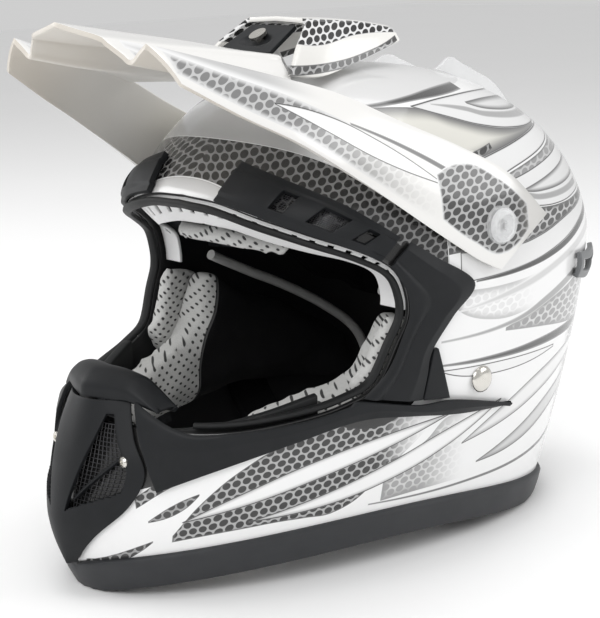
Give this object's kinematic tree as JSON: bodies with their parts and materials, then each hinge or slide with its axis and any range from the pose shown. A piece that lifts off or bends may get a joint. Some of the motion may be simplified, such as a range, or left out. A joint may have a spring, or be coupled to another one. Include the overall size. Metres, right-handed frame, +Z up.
{
  "type": "motocross helmet",
  "caption": "Full-face off-road helmet with an open eyeport, long chin bar, tilting sun peak with scoop, vent panels, padded lining and a fastened chin strap.",
  "frame": {"origin": "middle of the bounding box's base, on the surface the helmet stands on", "axes": "+Z up through the crown, -Y out of the face opening, +X to the wearer's left"},
  "size_m": [0.2796, 0.3894, 0.3195],
  "materials": {
    "shell_paint": "glossy clear coat over white and grey painted bands with dark edged cells",
    "impact_foam": "dark grey moulded bead foam",
    "edge_rubber": "satin dark grey rubber",
    "white_plastic": "white moulded plastic",
    "black_plastic": "fine grained matt black moulding",
    "vent_mesh": "fine dark wire mesh",
    "steel": "bright steel",
    "grey_plastic": "grey moulded vent frame",
    "clear_plastic": "clear moulded plastic",
    "liner_fabric": "black brushed lining cloth",
    "pad_fabric": "light grey perforated cloth",
    "peak_plastic": "translucent white moulding with printed cells",
    "webbing": "black woven webbing",
    "sleeve_fabric": "dark padded cloth sleeve",
    "snap_red": "red snap button"
  },
  "bodies": {
    "helmet": {"outer_shell": "shell_paint", "foam_crown": "impact_foam", "foam_chin": "impact_foam", "eyeport_gasket": "edge_rubber", "eyeport_rim": "white_plastic", "brow_vent_left": "black_plastic", "brow_vent_right": "black_plastic", "brow_mesh_left": "vent_mesh", "brow_mesh_right": "vent_mesh", "side_trim_left": "black_plastic", "side_trim_right": "black_plastic", "hinge_trim_left": "black_plastic", "hinge_trim_right": "black_plastic", "chin_trim_left": "black_plastic", "chin_trim_right": "black_plastic", "mouthpiece": "black_plastic", "nose_cap": "black_plastic", "mouth_mesh_left": "vent_mesh", "mouth_mesh_right": "vent_mesh", "mouth_screws": "steel", "chin_lip": "edge_rubber", "neck_trim": "edge_rubber", "rear_vent_left": "grey_plastic", "rear_vent_right": "grey_plastic", "crown_fin": "clear_plastic", "crown_liner": "liner_fabric", "liner_piping": "pad_fabric", "brow_pad": "pad_fabric", "cheek_pad_left": "liner_fabric", "cheek_pad_right": "liner_fabric", "cheek_front_left": "pad_fabric", "cheek_front_right": "pad_fabric", "neck_roll": "liner_fabric", "pivot_bosses": "white_plastic", "pivot_screw_left": "clear_plastic", "pivot_screw_right": "clear_plastic", "strap_rivets": "steel", "centre_post": "white_plastic", "centre_screw": "steel"},
    "peak": {"peak_visor": "peak_plastic", "peak_scoop": "peak_plastic", "scoop_inlet": "black_plastic", "peak_bushes": "clear_plastic"},
    "chin_strap": {"strap_anchors": "steel", "strap_webbing": "webbing", "strap_sleeve": "sleeve_fabric", "d_rings": "steel", "strap_snap": "snap_red"}
  },
  "joints": [
    {"name": "peak_tilt", "type": "hinge", "parent": "helmet", "child": "peak", "pos_m": [0, 0.0276, 0.197], "axis": [-1, 0, 0], "range_deg": [-2, 3]},
    {"name": "strap_swing", "type": "hinge", "parent": "helmet", "child": "chin_strap", "pos_m": [0, 0.0246, 0.105], "axis": [1, 0, 0], "range_deg": [-10, 10]}
  ]
}
